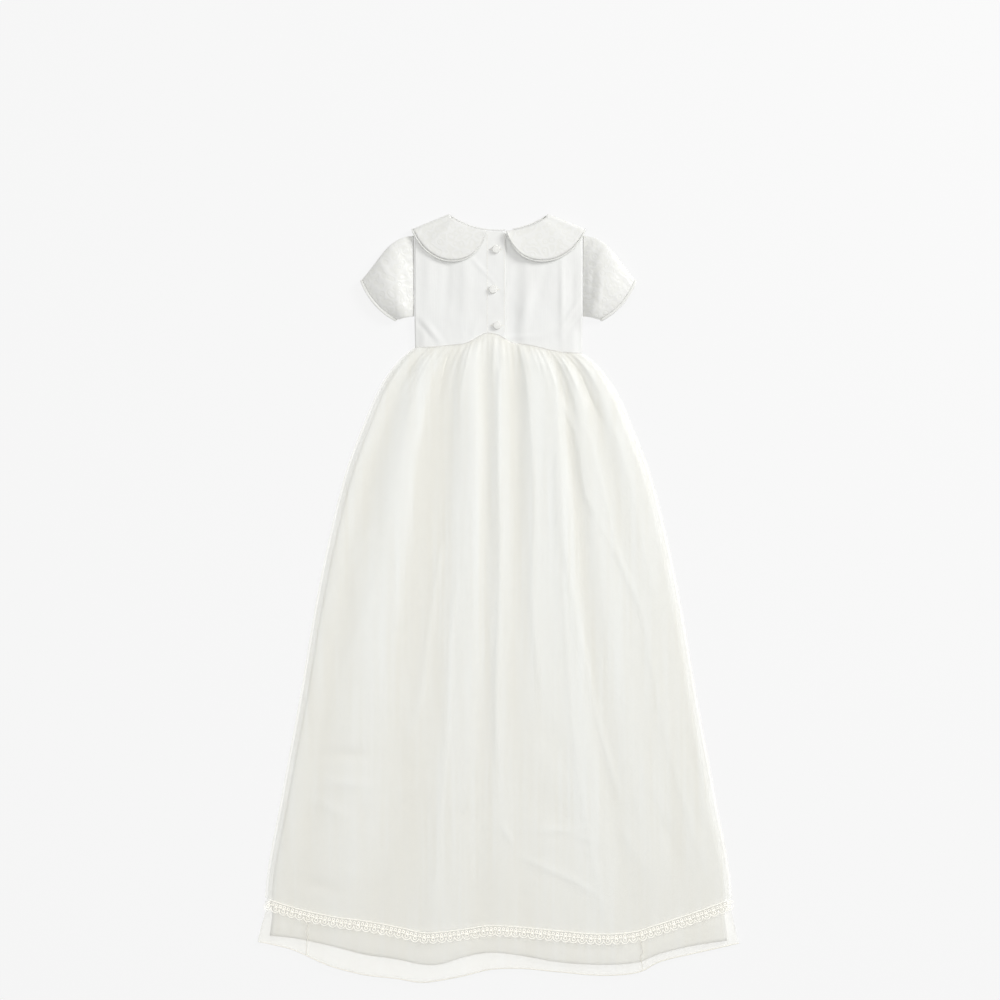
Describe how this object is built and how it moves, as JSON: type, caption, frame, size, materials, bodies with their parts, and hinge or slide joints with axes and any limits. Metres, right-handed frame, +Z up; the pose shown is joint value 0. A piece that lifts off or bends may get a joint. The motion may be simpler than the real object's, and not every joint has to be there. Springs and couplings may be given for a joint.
{
  "type": "christening gown",
  "caption": "Long ivory christening gown laid flat on its front: satin skirt under sheer organza with lace edging, short puff sleeves, round collar and a buttoned back.",
  "frame": {"origin": "on the surface that the gown lies on, under the middle of its bounding box", "axes": "+Y from the hem to the neck, +X to the viewer's right, +Z up, out of the gown's back"},
  "size_m": [0.5772, 0.921, 0.0158],
  "materials": {
    "satin": "soft ivory satin with a broad sheen",
    "organza": "crisp sheer ivory organza",
    "jacquard": "ivory satin with a faint woven figure",
    "satin_trim": "ivory satin bias strip",
    "lace": "matt ivory cotton lace",
    "button": "pearly domed button"
  },
  "bodies": {
    "root": {"satin_skirt_front": "satin", "satin_skirt_back": "satin", "bodice_front": "satin", "bodice_back_left": "satin", "bodice_back_right": "satin", "organza_underlayer_front": "organza", "organza_underlayer_back": "organza", "overskirt_front": "organza", "overskirt_back": "organza", "sleeve_left": "jacquard", "sleeve_right": "jacquard", "collar_left": "jacquard", "collar_right": "jacquard", "cuff_binding_left": "satin_trim", "cuff_binding_right": "satin_trim", "collar_piping_left": "satin_trim", "collar_piping_right": "satin_trim", "neck_binding": "satin_trim", "lace_front": "lace", "lace_back": "lace", "button_1": "button", "button_2": "button", "button_3": "button"}
  },
  "joints": []
}
